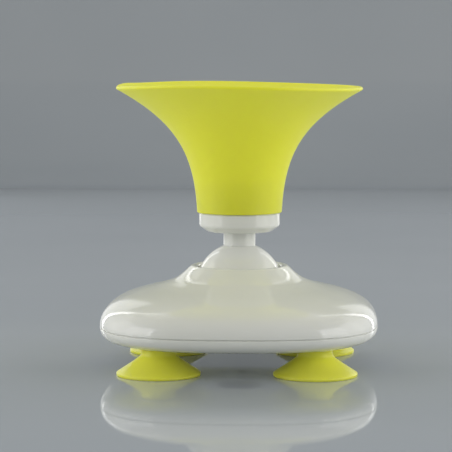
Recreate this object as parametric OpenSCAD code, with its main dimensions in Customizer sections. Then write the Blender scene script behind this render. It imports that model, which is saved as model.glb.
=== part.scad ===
// Suction-footed stand: a rounded-square housing on four suction feet carries a
// friction ball joint, and the ball's stem carries a head cup with a flared soft
// gripping sleeve. Millimetres, +Z up, origin on the table under the stem's axis.

/* [Housing] */
// Half width of the housing, from the axis to its flat sides
housing_half = 76; // [64:0.5:92]
// Power of the rounded-square outline, where 2 is a circle
outline_power = 2.8; // [2.2:0.1:4]
// Wall of both housing shells
shell_wall = 2.5; // [2:0.1:3]
// Height of the flat underside above the table
underside_z = 14.5; // [12:0.5:17.5]
// Distance from the housing's side to the edge of the flat underside
underside_inset = 22; // [18:0.5:26]
// Height of the seam above the underside
seam_height = 8.9; // [7.4:0.1:10.7]
// Height of the visible groove along the seam
seam_gap = 0.5; // [0.3:0.05:0.8]
// Depth of the visible groove along the seam
seam_groove = 0.8; // [0.4:0.1:1.2]
// Height of the crown's round above the seam
crown_round = 13.3; // [10:0.1:16]
// Run of the shoulder's nearly flat stretch, outwards from the collar
shoulder_run = 16; // [13:0.1:20]
// Rise of the shoulder for each millimetre of run
shoulder_slope = 0.28; // [0.15:0.01:0.35]
// Height of the lower shell's round below the seam
belly_round = 7.2; // [5:0.2:9]
// Run of the lower shell's flat stretch, outwards from the underside
belly_run = 13.7; // [8:0.2:16]
// Height of the lower shell's tongue inside the upper shell
tongue_height = 2; // [1.5:0.1:3]
// Thickness of the tongue
tongue_wall = 1.3; // [1:0.1:2]
// Gap between the tongue and the upper shell's wall
tongue_gap = 0.5; // [0.4:0.05:0.8]

/* [Ball joint] */
// Radius of the ball
ball_r = 23.8; // [19.8:0.1:28.6]
// Half angle of the flat cut under the ball
ball_flat_angle = 20; // [16:1:24]
// Gap between the ball and the two rings that hold it
ball_gap = 0.3; // [0.2:0.05:0.4]
// Wall of the liner at the ball's equator
liner_wall = 3.7; // [3.1:0.1:4.5]
// Running clearance of both rings in their seat, on the radius
turn_gap = 0.08; // [0.02:0.01:0.1]
// Gap between flat faces that slide on each other
face_gap = 0.1; // [0.05:0.05:0.2]
// Wall of the seat
seat_wall = 2.6; // [2:0.1:3.2]
// Depth of the liner below the roof of the seat
liner_depth = 7; // [6:0.2:8]
// Height of the pressure ring
pressure_height = 7.5; // [6:0.5:9]
// Depth of the pressure ring's top below the ball's centre
pressure_drop = 6.5; // [5:0.5:8]

/* [Collar] */
// How much narrower than the ball the throat is, on the radius
throat_inset = 0.6; // [0.4:0.05:0.8]
// Width of the lip, from the throat to its crest
lip_width = 2.6; // [2:0.1:3]
// Spread of the collar, from the seat to where it starts to rise
collar_spread = 13.5; // [11:0.1:16]
// Height of the collar's start above the ball's centre
collar_rise = 1.4; // [0.5:0.1:2]
// Height of the lip's crest above the ball's centre
lip_rise = 11.4; // [10.5:0.1:12.5]
// Thickness of the lip's roof above the seat
roof_thickness = 4.2; // [3.6:0.1:4.6]

/* [Spring and plate] */
// Radius of the spring's wire
wire_r = 0.9; // [0.7:0.05:1]
// Turns of the spring
spring_turns = 2.5; // [2:0.5:3]
// Gap between the spring's wire and its seat wall
spring_gap = 1.6; // [1.4:0.1:2]
// Thickness of the spring plate
plate_thickness = 2; // [1.5:0.1:2.4]
// Height of the spring plate above the shell's floor
plate_lift = 2; // [1.8:0.1:4]
// Margin of the spring plate outside its screws
plate_margin = 4.2; // [4:0.2:6]
// Radius of the centre hole in the plate and the underside
plate_hole_r = 12.4; // [11:0.1:14]
// Depth to which the ball reaches into the plate's hole
ball_reach = 1.5; // [1:0.1:2]
// Radius of the lugs that the plate is screwed to
lug_r = 3.6; // [3:0.1:4]
// Height of the lugs
lug_height = 18; // [14:1:19]

/* [Stem] */
// Length of the stem from the ball's top to the head cup
stem_length = 6.2; // [5:0.1:16]
// Radius of the stem
stem_r = 8.8; // [7.4:0.1:10.6]
// Step in from the stem to its two spigots, on the radius
spigot_step = 2.3; // [1.8:0.1:2.6]
// Depth of the lower spigot in the ball
spigot_depth = 6; // [4:0.5:8]
// Gap of the parts that are pushed together and don't turn
push_gap = 0.05; // [0.02:0.01:0.1]

/* [Head cup] */
// Radius of the head cup
cup_r = 22.2; // [18.5:0.1:26.7]
// Width of the head cup's bevelled corner
bevel_width = 4.4; // [3:0.1:6]
// Height of the head cup's bevelled corner
bevel_height = 3.2; // [2.4:0.1:5]
// Height of the part of the head cup that shows
cup_show = 10.5; // [8:0.1:14]
// Thickness of the head cup's floor
cup_floor = 4; // [3:0.1:5]
// Height of the cup's sleeve seat
seat_height = 16.2; // [13:0.2:20]
// Step in from the head cup to its sleeve seat
seat_step = 0.8; // [0.6:0.1:1.2]
// Wall of the cup inside the sleeve
cup_wall = 1.9; // [1.6:0.1:2.4]

/* [Grip sleeve] */
// Thickness of the sleeve's foot
sleeve_foot = 1.9; // [1.6:0.1:2.4]
// Radius of the sleeve's mouth
mouth_r = 66.9; // [56:0.1:80]
// Height of the sleeve, from its foot to its mouth
sleeve_height = 67.9; // [57:0.1:82]
// Wall of the sleeve
sleeve_wall = 1.8; // [1.4:0.1:2]
// Height over which the sleeve's neck stays almost upright
neck_pull = 32.2; // [27:0.1:38]
// Outward lean of the sleeve's neck over that height
neck_lean = 1.5; // [0:0.1:3]
// Run of the straight flare, inwards from the mouth
flare_run = 32.3; // [26:0.1:38]
// Rise of the flare for each millimetre of run
flare_slope = 0.57; // [0.45:0.01:0.7]
// Radius of the bead around the mouth
bead_r = 1; // [0.9:0.05:1.4]
// Thickness of the sleeve's inner shoulder
sleeve_shoulder = 1.6; // [1.2:0.1:2]

/* [Clamp ring and floor pad] */
// Wall of the clamp ring
clamp_wall = 1.5; // [1.2:0.1:2]
// Margin of the clamp ring's flange over the cup's inside
flange_margin = 2.6; // [2:0.1:2.8]
// Thickness of the clamp ring's flange
flange_thickness = 1.5; // [1.2:0.1:2]
// Thickness of the floor pad over its hollow
pad_cover = 1.6; // [1.2:0.1:2]
// Room between the bolt's head and the floor pad
pad_room = 1; // [0.6:0.1:1.5]
// Room around the bolt's washer under the floor pad
washer_room = 1.5; // [1:0.1:2.5]

/* [Suction feet] */
// Distance from the housing's side to the middle of a foot
foot_inset = 34.25; // [30:0.25:38]
// Radius of a foot's rim
foot_r = 22.5; // [18.7:0.1:27]
// Thickness of a foot's rim
foot_rim = 1.5; // [1.2:0.1:2]
// Width of the flat ring under the rim
foot_land = 2; // [1.5:0.1:3]
// Radius of a foot's neck
neck_r = 9.3; // [7.8:0.1:11.2]
// Length of a foot's neck
neck_length = 3.7; // [3.1:0.1:4.5]
// Wall of a foot's neck around the stud's head
neck_wall = 3; // [2.5:0.1:3.5]
// Height of the hollow under the bell
hollow_z = 5.6; // [4.7:0.1:6.2]
// Drop of the foot's mounting pad below the underside
pad_drop = 0.3; // [0.2:0.05:1]
// Width of the mounting pad's rim outside the neck
pad_rim = 1; // [0.5:0.1:2]
// Height of the mounting pad above the shell's floor
pad_rise = 1; // [0.6:0.1:1.5]

/* [Fasteners] */
// Radius of the centre bolt
bolt_r = 3; // [2.5:0.1:3.5]
// Clearance around the centre bolt and the screws
bolt_gap = 0.2; // [0.1:0.05:0.3]
// Width across the flats of the centre bolt's head and nut
bolt_flats = 10; // [9:0.1:11]
// Height of the centre bolt's head
bolt_head = 4; // [3:0.1:5]
// Thickness of the centre nut
centre_nut_h = 5; // [4:0.1:6]
// Sink of the centre nut above the ball's flat
nut_sink = 1; // [0.5:0.1:1.5]
// Radius of the bolt's washer
washer_r = 9; // [8:0.1:10.8]
// Thickness of the bolt's washer
washer_h = 1.5; // [1:0.1:2]
// Radius of a foot stud
stud_r = 2.5; // [2:0.1:3]
// Thickness of the stud's moulded-in head
stud_head = 1.5; // [1:0.1:1.8]
// Height of the stud's head above the hollow of the foot
stud_cover = 2; // [1.6:0.1:2.4]
// Width of a foot washer, from its hole to its rim
foot_washer_width = 3.5; // [3:0.1:4.2]
// Thickness of a foot washer
foot_washer_h = 1.2; // [1:0.1:1.5]
// Width across the flats of a foot nut
foot_nut_flats = 8; // [7:0.1:9.6]
// Height of a foot nut
foot_nut_h = 4; // [3:0.1:5]
// Length of stud beyond the nut
stud_end = 1.5; // [0.5:0.1:2]
// Radius of the self-tapping screws
screw_r = 1.5; // [1.2:0.1:1.8]
// Width of a screw head's rim outside its shank
screw_rim = 1.3; // [1:0.1:1.5]
// Thickness of a screw's head
screw_head = 1.6; // [1.3:0.1:1.8]
// Distance from the housing's side to the shell screws
screw_inset = 29; // [26:0.5:32]
// Wall of the screw bosses around their screw
boss_wall = 2.85; // [2.4:0.05:3.2]
// Height of a screw head's seat above the underside
screw_recess = 3.4; // [3:0.1:4]
// Height of the joint between two screw bosses above the seam
boss_joint = 4; // [3:0.2:5]
// Depth of a shell screw in its upper boss
screw_bite = 10; // [8:0.5:11]
// Length of a spring plate screw
plate_screw_length = 10; // [8:1:12]

/* [Hidden] */
$fn = 96;
ring_sides = 72;     // corners of each ring of the shells' outline
crown_steps = 14;    // rings from the seam to the collar
collar_steps = 9;    // rings from the collar's start to the lip's crest
belly_steps = 9;     // rings from the underside to the seam
flare_steps = 24;    // straight stretches along the sleeve's curve
cut = 1;             // how far a cutting shape reaches past what it cuts

housing_white = [0.90, 0.91, 0.87];
lime = [0.78, 0.82, 0.20];
inner_white = [0.82, 0.82, 0.78];
steel = [0.62, 0.63, 0.65];

// Heights that follow from the driving sizes, from the table up
seam_z = underside_z + seam_height;
floor_z = underside_z + shell_wall;
plate_bottom_z = floor_z + plate_lift;
plate_top_z = plate_bottom_z + plate_thickness;
ball_z = plate_top_z - ball_reach + ball_r;
ball_flat_z = ball_z - ball_r * cos(ball_flat_angle);
pressure_top_z = ball_z - pressure_drop;
pressure_bottom_z = pressure_top_z - pressure_height;
collar_z = ball_z + collar_rise;
lip_z = ball_z + lip_rise;
seat_roof_z = lip_z - roof_thickness;
liner_bottom_z = seat_roof_z - liner_depth;
head_z = ball_z + ball_r + stem_length;
cup_floor_z = head_z + cup_floor;
sleeve_z = head_z + cup_show;
cup_top_z = sleeve_z + seat_height;
flange_z = cup_top_z + sleeve_shoulder;
clamp_top_z = flange_z + flange_thickness;
washer_z = cup_floor_z + face_gap;
bolt_head_z = washer_z + washer_h;
pad_hollow_z = bolt_head_z + bolt_head + pad_room;
pad_top_z = pad_hollow_z + pad_cover;
foot_top_z = underside_z - pad_drop;
bell_z = foot_top_z - neck_length;
stud_head_z = hollow_z + stud_cover;
foot_washer_z = floor_z + pad_rise;
foot_nut_z = foot_washer_z + foot_washer_h;
boss_joint_z = seam_z + boss_joint;
recess_z = underside_z + screw_recess;

// Radii and places that follow, from the axis outwards
spigot_r = stem_r - spigot_step;
pad_hollow_r = washer_r + washer_room;
sleeve_seat_r = cup_r - seat_step;
cup_bore_r = sleeve_seat_r - cup_wall;
clamp_bore_r = cup_bore_r - clamp_wall;
sleeve_foot_r = sleeve_seat_r + sleeve_foot;
throat_r = ball_r - throat_inset;
lip_r = throat_r + lip_width;
seat_r = ball_r + ball_gap + liner_wall;
collar_r = seat_r + collar_spread;
round_r = collar_r - shell_wall;
lug_place_r = seat_r + seat_wall / 2 + lug_r;
screw_place_r = housing_half - screw_inset;
screw_head_r = screw_r + screw_rim;
boss_r = screw_r + boss_wall;
underside_r = housing_half - underside_inset;
foot_place = housing_half - foot_inset;
stud_head_r = neck_r - neck_wall;

// ---- Curves and ring shapes ----

// A point and a direction on the curve from a to d, which b and c pull on
function bend(a, b, c, d, t) =
    pow(1 - t, 3) * a + 3 * pow(1 - t, 2) * t * b + 3 * (1 - t) * t * t * c + pow(t, 3) * d;
function bend_dir(a, b, c, d, t) =
    pow(1 - t, 2) * (b - a) + 2 * (1 - t) * t * (c - b) + t * t * (d - c);
// The unit vector to the right of a direction
function right_of(v) = [v.y, -v.x] / norm(v);
function bend_points(q, steps, first = 0) =
    [for (i = [first:steps]) bend(q[0], q[1], q[2], q[3], i / steps)];
function bend_offset(q, steps, shift, first = 0) =
    [for (i = [first:steps])
        bend(q[0], q[1], q[2], q[3], i / steps)
            + shift * right_of(bend_dir(q[0], q[1], q[2], q[3], i / steps))];
function reversed(list) = [for (i = [len(list) - 1:-1:0]) list[i]];
function smooth(t) = let (u = min(max(t, 0), 1)) u * u * (3 - 2 * u);

// One level ring of the housing: round near the axis, a rounded square at the edge
function outline_at(r) = 2 + (outline_power - 2) * smooth((r - round_r) / (housing_half - round_r));
function housing_ring(p) =
    let (n = outline_at(p.x))
    [for (i = [0:ring_sides - 1])
        let (a = 360 * i / ring_sides,
             k = pow(pow(abs(cos(a)), n) + pow(abs(sin(a)), n), -1 / n))
        [p.x * k * cos(a), p.x * k * sin(a), p.y]];

// A solid skin through a list of rings, closed on itself or with a flat cap at each end
module ring_solid(rings, looped = false) {
    m = len(rings[0]);
    n = len(rings);
    points = [for (ring = rings) for (p = ring) p];
    bands = looped ? n : n - 1;
    skin = [for (j = [0:bands - 1]) for (i = [0:m - 1])
        let (a = j * m + i, b = j * m + (i + 1) % m,
             c = ((j + 1) % n) * m + (i + 1) % m, d = ((j + 1) % n) * m + i)
        each [[a, c, b], [a, d, c]]];
    caps = looped ? [] : [[for (i = [0:m - 1]) i], [for (i = [m - 1:-1:0]) (n - 1) * m + i]];
    polyhedron(points = points, faces = concat(skin, caps), convexity = 8);
}

module disc(r, z0, z1) {
    translate([0, 0, z0]) cylinder(r = r, h = z1 - z0);
}

module tube(r_out, r_in, z0, z1) {
    difference() {
        disc(r_out, z0, z1);
        disc(r_in, z0 - cut, z1 + cut);
    }
}

module hexagon(flats, z0, z1) {
    translate([0, 0, z0]) cylinder(r = flats / (2 * cos(30)), h = z1 - z0, $fn = 6);
}

module at_feet() {
    for (x = [-1, 1], y = [-1, 1])
        translate([x * foot_place, y * foot_place, 0]) children();
}

module at_shell_screws() {
    for (a = [0:90:270]) rotate([0, 0, a]) translate([screw_place_r, 0, 0]) children();
}

module at_lugs() {
    for (a = [45:90:315]) rotate([0, 0, a]) translate([lug_place_r, 0, 0]) children();
}

// ---- Housing ----

// Section curves of the shells, as [radius, height]
crown = [[housing_half, seam_z],
         [housing_half, seam_z + crown_round],
         [collar_r + shoulder_run, collar_z - shoulder_slope * shoulder_run],
         [collar_r, collar_z]];
collar = [[collar_r, collar_z],
          [collar_r - (collar_r - lip_r) * 0.62, collar_z + shoulder_slope * (collar_r - lip_r) * 0.62],
          [lip_r + (collar_r - lip_r) * 0.12, lip_z],
          [lip_r, lip_z]];
belly = [[housing_half, seam_z - seam_gap],
         [housing_half, seam_z - seam_gap - belly_round],
         [underside_r + belly_run, underside_z],
         [underside_r, underside_z]];
crown_path = bend_points(crown, crown_steps);
// Height of the crown's outside over a point r from the axis along X or Y
function crown_z(r) = lookup(r, reversed(crown_path));

// The lip rolls over its crest and into the throat, which is then bored out
lip_roll = (lip_r - throat_r) * 0.8;
lip_section = [[lip_r - lip_roll, lip_z - 0.3 * lip_roll],
               [lip_r - 1.6 * lip_roll, lip_z - 1.2 * lip_roll],
               [throat_r - cut, lip_z - 1.6 * lip_roll]];
core_r = seat_r + seat_wall / 2;

module top_shell() {
    section = concat(
        crown_path,
        [for (i = [1:collar_steps])
            bend(collar[0], collar[1], collar[2], collar[3], i / collar_steps)],
        lip_section,
        [[throat_r - cut, seat_roof_z - cut],
         [core_r, seat_roof_z - roof_thickness]],
        reversed(bend_offset(crown, crown_steps, -shell_wall)));
    color(housing_white) difference() {
        union() {
            ring_solid([for (p = section) housing_ring(p)], looped = true);
            disc(seat_r + seat_wall, plate_top_z, seat_roof_z - roof_thickness / 2);
            at_lugs() disc(lug_r, plate_top_z, plate_top_z + lug_height);
            at_shell_screws()
                disc(boss_r, boss_joint_z, crown_z(screw_place_r) - shell_wall / 2);
        }
        disc(seat_r, plate_top_z - cut, seat_roof_z);
        disc(throat_r, seat_roof_z - cut, lip_z + cut);
        at_lugs() disc(screw_r + push_gap, plate_top_z - cut, plate_top_z + plate_screw_length);
        at_shell_screws()
            disc(screw_r + push_gap, boss_joint_z - cut, boss_joint_z + screw_bite + cut);
    }
}

module bottom_shell() {
    tongue_r = housing_half - shell_wall - tongue_gap;
    inner = [for (p = bend_offset(belly, belly_steps, shell_wall)) if (p.x < tongue_r - tongue_wall) p];
    section = concat(
        [[plate_hole_r, underside_z]],
        reversed(bend_points(belly, belly_steps)),
        [[housing_half - seam_groove, seam_z - seam_gap],
         [housing_half - seam_groove, seam_z],
         [tongue_r, seam_z],
         [tongue_r, seam_z + tongue_height],
         [tongue_r - tongue_wall, seam_z + tongue_height],
         [tongue_r - tongue_wall, inner[0].y + 0.4]],
        inner,
        [[plate_hole_r, floor_z]]);
    color(housing_white) difference() {
        union() {
            ring_solid([for (p = section) housing_ring(p)]);
            at_feet() disc(neck_r + pad_rim, foot_top_z, floor_z + pad_rise);
            at_shell_screws() disc(boss_r, floor_z - shell_wall / 2, boss_joint_z);
        }
        at_feet() disc(stud_r + push_gap, foot_top_z - cut, floor_z + pad_rise + cut);
        at_shell_screws() {
            disc(screw_r + bolt_gap, underside_z - cut, boss_joint_z + cut);
            disc(screw_head_r + bolt_gap, underside_z - cut, recess_z);
        }
    }
}

// A self-tapping screw that stands on its head: the head's upper face is at z = 0
module screw(length) {
    socket_flats = screw_head_r;
    difference() {
        union() {
            disc(screw_head_r, -screw_head, 0);
            disc(screw_r, -screw_head / 2, length);
        }
        hexagon(socket_flats, -screw_head - cut, -screw_head / 2);
    }
}

module shell_screws() {
    color(steel) at_shell_screws()
        translate([0, 0, recess_z]) screw(boss_joint_z + screw_bite - recess_z);
}

// ---- Suction feet ----

// The bell's outside runs from the rim's top to the neck
bell = [[foot_r, foot_rim],
        [foot_r - (foot_r - neck_r) * 0.36, foot_rim + (bell_z - foot_rim) * 0.34],
        [neck_r + (foot_r - neck_r) * 0.24, foot_rim + (bell_z - foot_rim) * 0.72],
        [neck_r, bell_z]];

module suction_foot(x, y) {
    hollow_r = foot_r - foot_land;
    bell_steps = 8;
    dome_steps = 6;
    dome = [for (i = [0:dome_steps - 1])
        [hollow_r * cos(90 * i / dome_steps), hollow_z * sin(90 * i / dome_steps)]];
    color(lime) translate([x * foot_place, y * foot_place, 0]) difference() {
        rotate_extrude() polygon(concat(
            [[foot_r, 0]],
            bend_points(bell, bell_steps),
            [[neck_r, foot_top_z], [0, foot_top_z], [0, hollow_z]],
            reversed(dome)));
        disc(stud_r + push_gap, stud_head_z, foot_top_z + cut);
        disc(stud_head_r + push_gap, stud_head_z - push_gap, stud_head_z + stud_head + push_gap);
    }
}

module suction_foot_front_left() suction_foot(-1, -1);
module suction_foot_front_right() suction_foot(1, -1);
module suction_foot_back_left() suction_foot(-1, 1);
module suction_foot_back_right() suction_foot(1, 1);

module foot_studs() {
    color(steel) at_feet() {
        disc(stud_head_r, stud_head_z, stud_head_z + stud_head);
        disc(stud_r, stud_head_z + stud_head / 2, foot_nut_z + foot_nut_h + stud_end);
    }
}

module foot_washers() {
    color(steel) at_feet()
        tube(stud_r + foot_washer_width, stud_r + push_gap, foot_washer_z, foot_nut_z);
}

module foot_nuts() {
    color(steel) at_feet() difference() {
        hexagon(foot_nut_flats, foot_nut_z, foot_nut_z + foot_nut_h);
        disc(stud_r + push_gap, foot_nut_z - cut, foot_nut_z + foot_nut_h + cut);
    }
}

// ---- Ball joint ----

module ball_space() {
    translate([0, 0, ball_z]) sphere(r = ball_r + ball_gap);
}

module socket_liner() {
    color(inner_white) difference() {
        disc(seat_r - turn_gap, liner_bottom_z, seat_roof_z - face_gap);
        ball_space();
    }
}

module pressure_ring() {
    color(inner_white) difference() {
        disc(seat_r - turn_gap, pressure_bottom_z, pressure_top_z);
        ball_space();
    }
}

module pressure_spring() {
    coil_r = seat_r - spring_gap - wire_r;
    wire_sides = 8;
    turn_steps = 20;
    steps = spring_turns * turn_steps;
    low = plate_top_z + wire_r;
    high = pressure_bottom_z - face_gap - wire_r;
    rings = [for (i = [0:steps])
        let (a = 360 * i / turn_steps, z = low + (high - low) * i / steps)
        [for (k = [0:wire_sides - 1])
            let (b = -360 * k / wire_sides, r = coil_r + wire_r * cos(b))
            [r * cos(a), r * sin(a), z + wire_r * sin(b)]]];
    color(steel) ring_solid(rings);
}

module spring_plate() {
    color(steel) difference() {
        disc(lug_place_r + plate_margin, plate_bottom_z, plate_top_z);
        disc(plate_hole_r, plate_bottom_z - cut, plate_top_z + cut);
        at_lugs() disc(screw_r + bolt_gap, plate_bottom_z - cut, plate_top_z + cut);
    }
}

module spring_plate_screws() {
    color(steel) at_lugs() translate([0, 0, plate_bottom_z]) screw(plate_screw_length);
}

module ball() {
    color(housing_white) difference() {
        translate([0, 0, ball_z]) sphere(r = ball_r);
        disc(ball_r + cut, ball_z - ball_r - cut, ball_flat_z);
        disc(bolt_r + bolt_gap, ball_flat_z - cut, ball_z + ball_r + cut);
        hexagon(bolt_flats + 2 * push_gap, ball_flat_z - cut, ball_flat_z + nut_sink + centre_nut_h);
        disc(spigot_r + push_gap, ball_z + ball_r - spigot_depth, ball_z + ball_r + cut);
    }
}

module stem() {
    top_z = head_z - face_gap;
    color(housing_white) difference() {
        union() {
            difference() {
                disc(stem_r, ball_z + ball_r * 0.7, top_z);
                translate([0, 0, ball_z]) sphere(r = ball_r + push_gap);
            }
            disc(spigot_r, ball_z + ball_r - spigot_depth + push_gap, washer_z);
        }
        disc(bolt_r + bolt_gap, ball_z, washer_z + cut);
    }
}

module centre_bolt() {
    color(steel) union() {
        hexagon(bolt_flats, bolt_head_z, bolt_head_z + bolt_head);
        disc(bolt_r, ball_flat_z + nut_sink / 2, bolt_head_z + bolt_head / 2);
    }
}

module centre_nut() {
    nut_z = ball_flat_z + nut_sink;
    color(steel) difference() {
        hexagon(bolt_flats, nut_z, nut_z + centre_nut_h - push_gap);
        disc(bolt_r + push_gap, nut_z - cut, nut_z + centre_nut_h + cut);
    }
}

module bolt_washer() {
    color(steel) tube(washer_r, bolt_r + bolt_gap, washer_z, bolt_head_z);
}

// ---- Head ----

module head_cup() {
    color(housing_white) difference() {
        rotate_extrude() polygon([
            [0, head_z], [cup_r - bevel_width, head_z], [cup_r, head_z + bevel_height],
            [cup_r, sleeve_z], [sleeve_seat_r, sleeve_z], [sleeve_seat_r, cup_top_z],
            [cup_bore_r, cup_top_z], [cup_bore_r, cup_floor_z], [0, cup_floor_z]]);
        disc(spigot_r + turn_gap, head_z - cut, cup_floor_z + cut);
    }
}

// The sleeve's outside curve, and the inside a wall's thickness away above the cup
flare = [[sleeve_foot_r, sleeve_z],
         [sleeve_foot_r + neck_lean, sleeve_z + neck_pull],
         [mouth_r - flare_run, sleeve_z + sleeve_height - flare_slope * flare_run],
         [mouth_r, sleeve_z + sleeve_height]];

module grip_sleeve() {
    inner = [for (p = bend_offset(flare, flare_steps, -sleeve_wall)) if (p.y > clamp_top_z + 1) p];
    inner_gap_r = cup_bore_r + flange_margin + push_gap;
    mouth_dir = right_of(flare[3] - flare[2]);
    color(lime) union() {
        rotate_extrude() polygon(concat(
            bend_points(flare, flare_steps),
            reversed(inner),
            [[inner_gap_r, clamp_top_z], [inner_gap_r, flange_z],
             [cup_bore_r + push_gap, flange_z], [cup_bore_r + push_gap, cup_top_z],
             [sleeve_seat_r + push_gap, cup_top_z], [sleeve_seat_r + push_gap, sleeve_z]]));
        rotate_extrude() translate([mouth_r - mouth_dir.x * bead_r,
                                    sleeve_z + sleeve_height - mouth_dir.y * bead_r])
            circle(r = bead_r);
    }
}

module clamp_ring() {
    color(housing_white) difference() {
        union() {
            disc(cup_bore_r - push_gap, pad_top_z, clamp_top_z);
            disc(cup_bore_r + flange_margin, flange_z, clamp_top_z);
        }
        disc(clamp_bore_r, pad_top_z - cut, clamp_top_z + cut);
    }
}

module floor_pad() {
    color(lime) difference() {
        disc(cup_bore_r - push_gap, cup_floor_z, pad_top_z);
        disc(pad_hollow_r, cup_floor_z - cut, pad_hollow_z);
    }
}

top_shell();
bottom_shell();
shell_screws();
suction_foot_front_left();
suction_foot_front_right();
suction_foot_back_left();
suction_foot_back_right();
foot_studs();
foot_washers();
foot_nuts();
socket_liner();
pressure_ring();
pressure_spring();
spring_plate();
spring_plate_screws();
ball();
stem();
centre_bolt();
centre_nut();
bolt_washer();
head_cup();
grip_sleeve();
clamp_ring();
floor_pad();
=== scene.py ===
# %% [markdown]
# # A suction-footed stand with a flared gripping sleeve
# The real thing is a small bench stand: a glossy white housing on four soft suction feet, a ball that tilts
# in the collar of the housing, and a white cup on the ball's stem that wears a wide, soft, lime sleeve.
# The frame is the finished mechanical model, with every bolt and ring in place. This lesson adds the looks:
# it rebuilds each piece that can be seen with rounder curves and soft edges, and gives every piece a finish.

# %% Open the frame
import math
import bmesh
import bpy
import numpy as np
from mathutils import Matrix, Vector


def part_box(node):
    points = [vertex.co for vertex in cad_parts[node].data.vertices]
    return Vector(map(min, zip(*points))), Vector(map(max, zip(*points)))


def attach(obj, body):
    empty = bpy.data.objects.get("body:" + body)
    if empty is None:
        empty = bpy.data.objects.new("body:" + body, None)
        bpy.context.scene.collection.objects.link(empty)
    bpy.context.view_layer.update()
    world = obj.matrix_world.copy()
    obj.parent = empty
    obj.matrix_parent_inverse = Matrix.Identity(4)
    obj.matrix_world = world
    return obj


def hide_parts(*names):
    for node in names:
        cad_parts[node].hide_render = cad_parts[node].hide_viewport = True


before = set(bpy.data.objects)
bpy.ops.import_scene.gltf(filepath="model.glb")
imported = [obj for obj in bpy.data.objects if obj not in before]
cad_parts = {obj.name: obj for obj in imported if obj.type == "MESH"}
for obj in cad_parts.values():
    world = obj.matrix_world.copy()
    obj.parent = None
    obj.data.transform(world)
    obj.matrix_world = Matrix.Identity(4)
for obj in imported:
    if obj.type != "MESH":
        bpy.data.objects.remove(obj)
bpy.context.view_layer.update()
print("nodes in the frame:", len(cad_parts))

# %% [markdown]
# ## Sizes
# Drawings of such parts are in millimetres, while Blender counts in metres, so every size here is written in
# millimetres and one helper turns points into metres when a mesh is made. Where a size can be read off a
# node of the frame it is, so that the looks follow the mechanical model when that model changes.

# %% Read the main sizes off the frame
MM = 0.001


def low(node):
    return [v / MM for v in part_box(node)[0]]


def high(node):
    return [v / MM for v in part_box(node)[1]]


def height_at_side(node):
    """Height of a node's corners that are farthest out along X."""
    corners = [v.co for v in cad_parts[node].data.vertices]
    reach = max(c.x for c in corners)
    hair = 0.01 * MM
    return max(c.z for c in corners if c.x > reach - hair) / MM


housing_half = high("top_shell")[0]
lip_z = high("top_shell")[2]
lip_above_ball = 11.4
seam_z = height_at_side("top_shell")
seam_low_z = height_at_side("bottom_shell")
ball_r = high("ball")[0]
ball_z = lip_z - lip_above_ball
head_z = low("head_cup")[2]
cup_top_z = high("head_cup")[2]
cup_r = high("head_cup")[0]
sleeve_z = low("grip_sleeve")[2]
stem_r = high("stem")[0]
print("housing half width", round(housing_half, 2), "seam", round(seam_low_z, 2), "to", round(seam_z, 2))
print("ball radius", round(ball_r, 2), "lip", round(lip_z, 2), "cup radius", round(cup_r, 2))

# %% [markdown]
# ## Curves for a section drawing
# A moulded part is easiest to describe by the section that a saw cut would show. Long sweeps are curves with
# two handles, drawn here from four points. Corners are rounded afterwards, each with its own radius, because
# a real moulded edge is never sharp and the thin highlight on it is what makes a render look real.

# %% Curve helpers
def sweep(start, pull_start, pull_end, end, steps):
    """Points on the curve from start to end that leans towards the two pull points."""
    a, b, c, d = (np.array(p, float) for p in (start, pull_start, pull_end, end))
    t = np.linspace(0, 1, steps + 1)[:, None]
    return (1 - t) ** 3 * a + 3 * (1 - t) ** 2 * t * b + 3 * (1 - t) * t ** 2 * c + t ** 3 * d


def beside(curve, distance):
    """The curve moved sideways, to the right of its direction."""
    along = np.gradient(curve, axis=0)
    right = np.column_stack([along[:, 1], -along[:, 0]])
    return curve + distance * right / np.linalg.norm(right, axis=1)[:, None]


def eased(curve, middle, reach, passes):
    """The curve with the points near one place averaged, so that a bend turns gradually."""
    curve = np.array(curve, float)
    near = np.linalg.norm(curve - np.array(middle), axis=1) < reach
    near[0] = near[-1] = False
    for _ in range(passes):
        mean = (np.roll(curve, 1, axis=0) + np.roll(curve, -1, axis=0)) / 2
        curve[near] = (curve[near] + mean[near]) / 2
    return curve


# %% [markdown]
# ### Rounded corners
# A fillet is an arc that touches both sides of a corner. The closer the corner's angle is to straight, the
# nearer to the corner the arc begins, and it is made smaller where a side is too short to hold it, so that two
# arcs never meet. The arc itself is the same kind of curve as a sweep, with handles cut to a circle's length.

# %% Corner helper
most_of_a_side = 0.48


def rounded(section, steps=5):
    """A closed section from (radius, height) points. A third number rounds that corner by its radius."""
    made = []
    count = len(section)
    for i, point in enumerate(section):
        here = np.array(point[:2], float)
        size = point[2] if len(point) > 2 else 0
        if not size:
            made.append(here)
            continue
        back = np.array(section[i - 1][:2], float) - here
        ahead = np.array(section[(i + 1) % count][:2], float) - here
        room = most_of_a_side * min(np.linalg.norm(back), np.linalg.norm(ahead))
        back, ahead = back / np.linalg.norm(back), ahead / np.linalg.norm(ahead)
        angle = math.acos(max(-1, min(1, float(back @ ahead))))
        reach = min(size / math.tan(angle / 2), room)
        size = reach * math.tan(angle / 2)
        handle = reach - 4 / 3 * math.tan((math.pi - angle) / 4) * size
        made.extend(sweep(here + back * reach, here + back * handle,
                          here + ahead * handle, here + ahead * reach, steps))
    return np.array(made)


# %% [markdown]
# ## Turning sections into pieces
# Round pieces are made as on a lathe: the section is turned about an upright axis. The housing is not round,
# so its section is carried round a rounded-square outline instead, one ring for each point of the section.
# Both end in the same skin of four-sided faces. Where a section reaches the axis, its ring shrinks to one
# point, so the doubled corners are merged there and the bare edge that is left on the axis is taken out.

# %% Mesh helpers
same_point = 1e-8


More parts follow.
